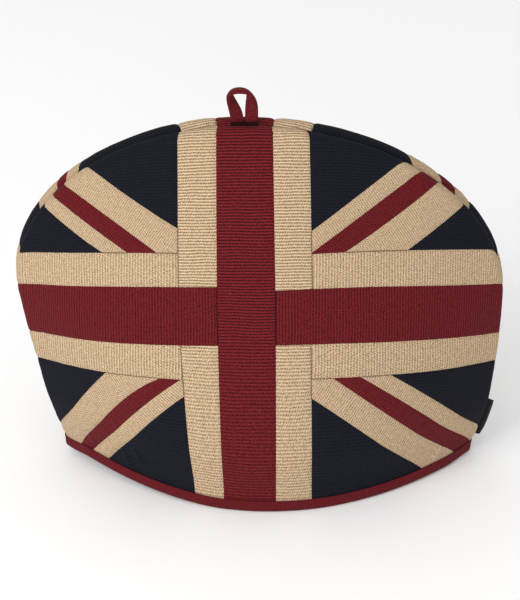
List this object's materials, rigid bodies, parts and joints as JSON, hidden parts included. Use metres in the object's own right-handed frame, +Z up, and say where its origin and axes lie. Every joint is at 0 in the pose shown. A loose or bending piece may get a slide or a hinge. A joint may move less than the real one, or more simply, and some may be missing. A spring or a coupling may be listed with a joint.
{
  "type": "tea cosy",
  "caption": "Padded dome-shaped cloth tea cosy, pieced in a flag pattern, with a bound hem, a hanging loop on top and a folded side label.",
  "frame": {"origin": "on the surface it stands on, under the middle of its bounding box", "axes": "+X along the width to the right, +Y from the front panel to the back one, +Z up to the hanging loop"},
  "size_m": [0.3891, 0.1795, 0.3355],
  "materials": {
    "patchwork_cotton": "ribbed beige cotton pieced with navy and dark red, matt",
    "red_binding": "dark red ribbed cotton strip, matt",
    "red_tape": "dark red stitched cotton tape, matt",
    "dark_ribbon": "near-black navy woven ribbon, slight sheen"
  },
  "bodies": {
    "root": {"front_panel": "patchwork_cotton", "back_panel": "patchwork_cotton", "hem_binding": "red_binding", "hanging_loop": "red_tape", "side_label": "dark_ribbon"}
  },
  "joints": []
}
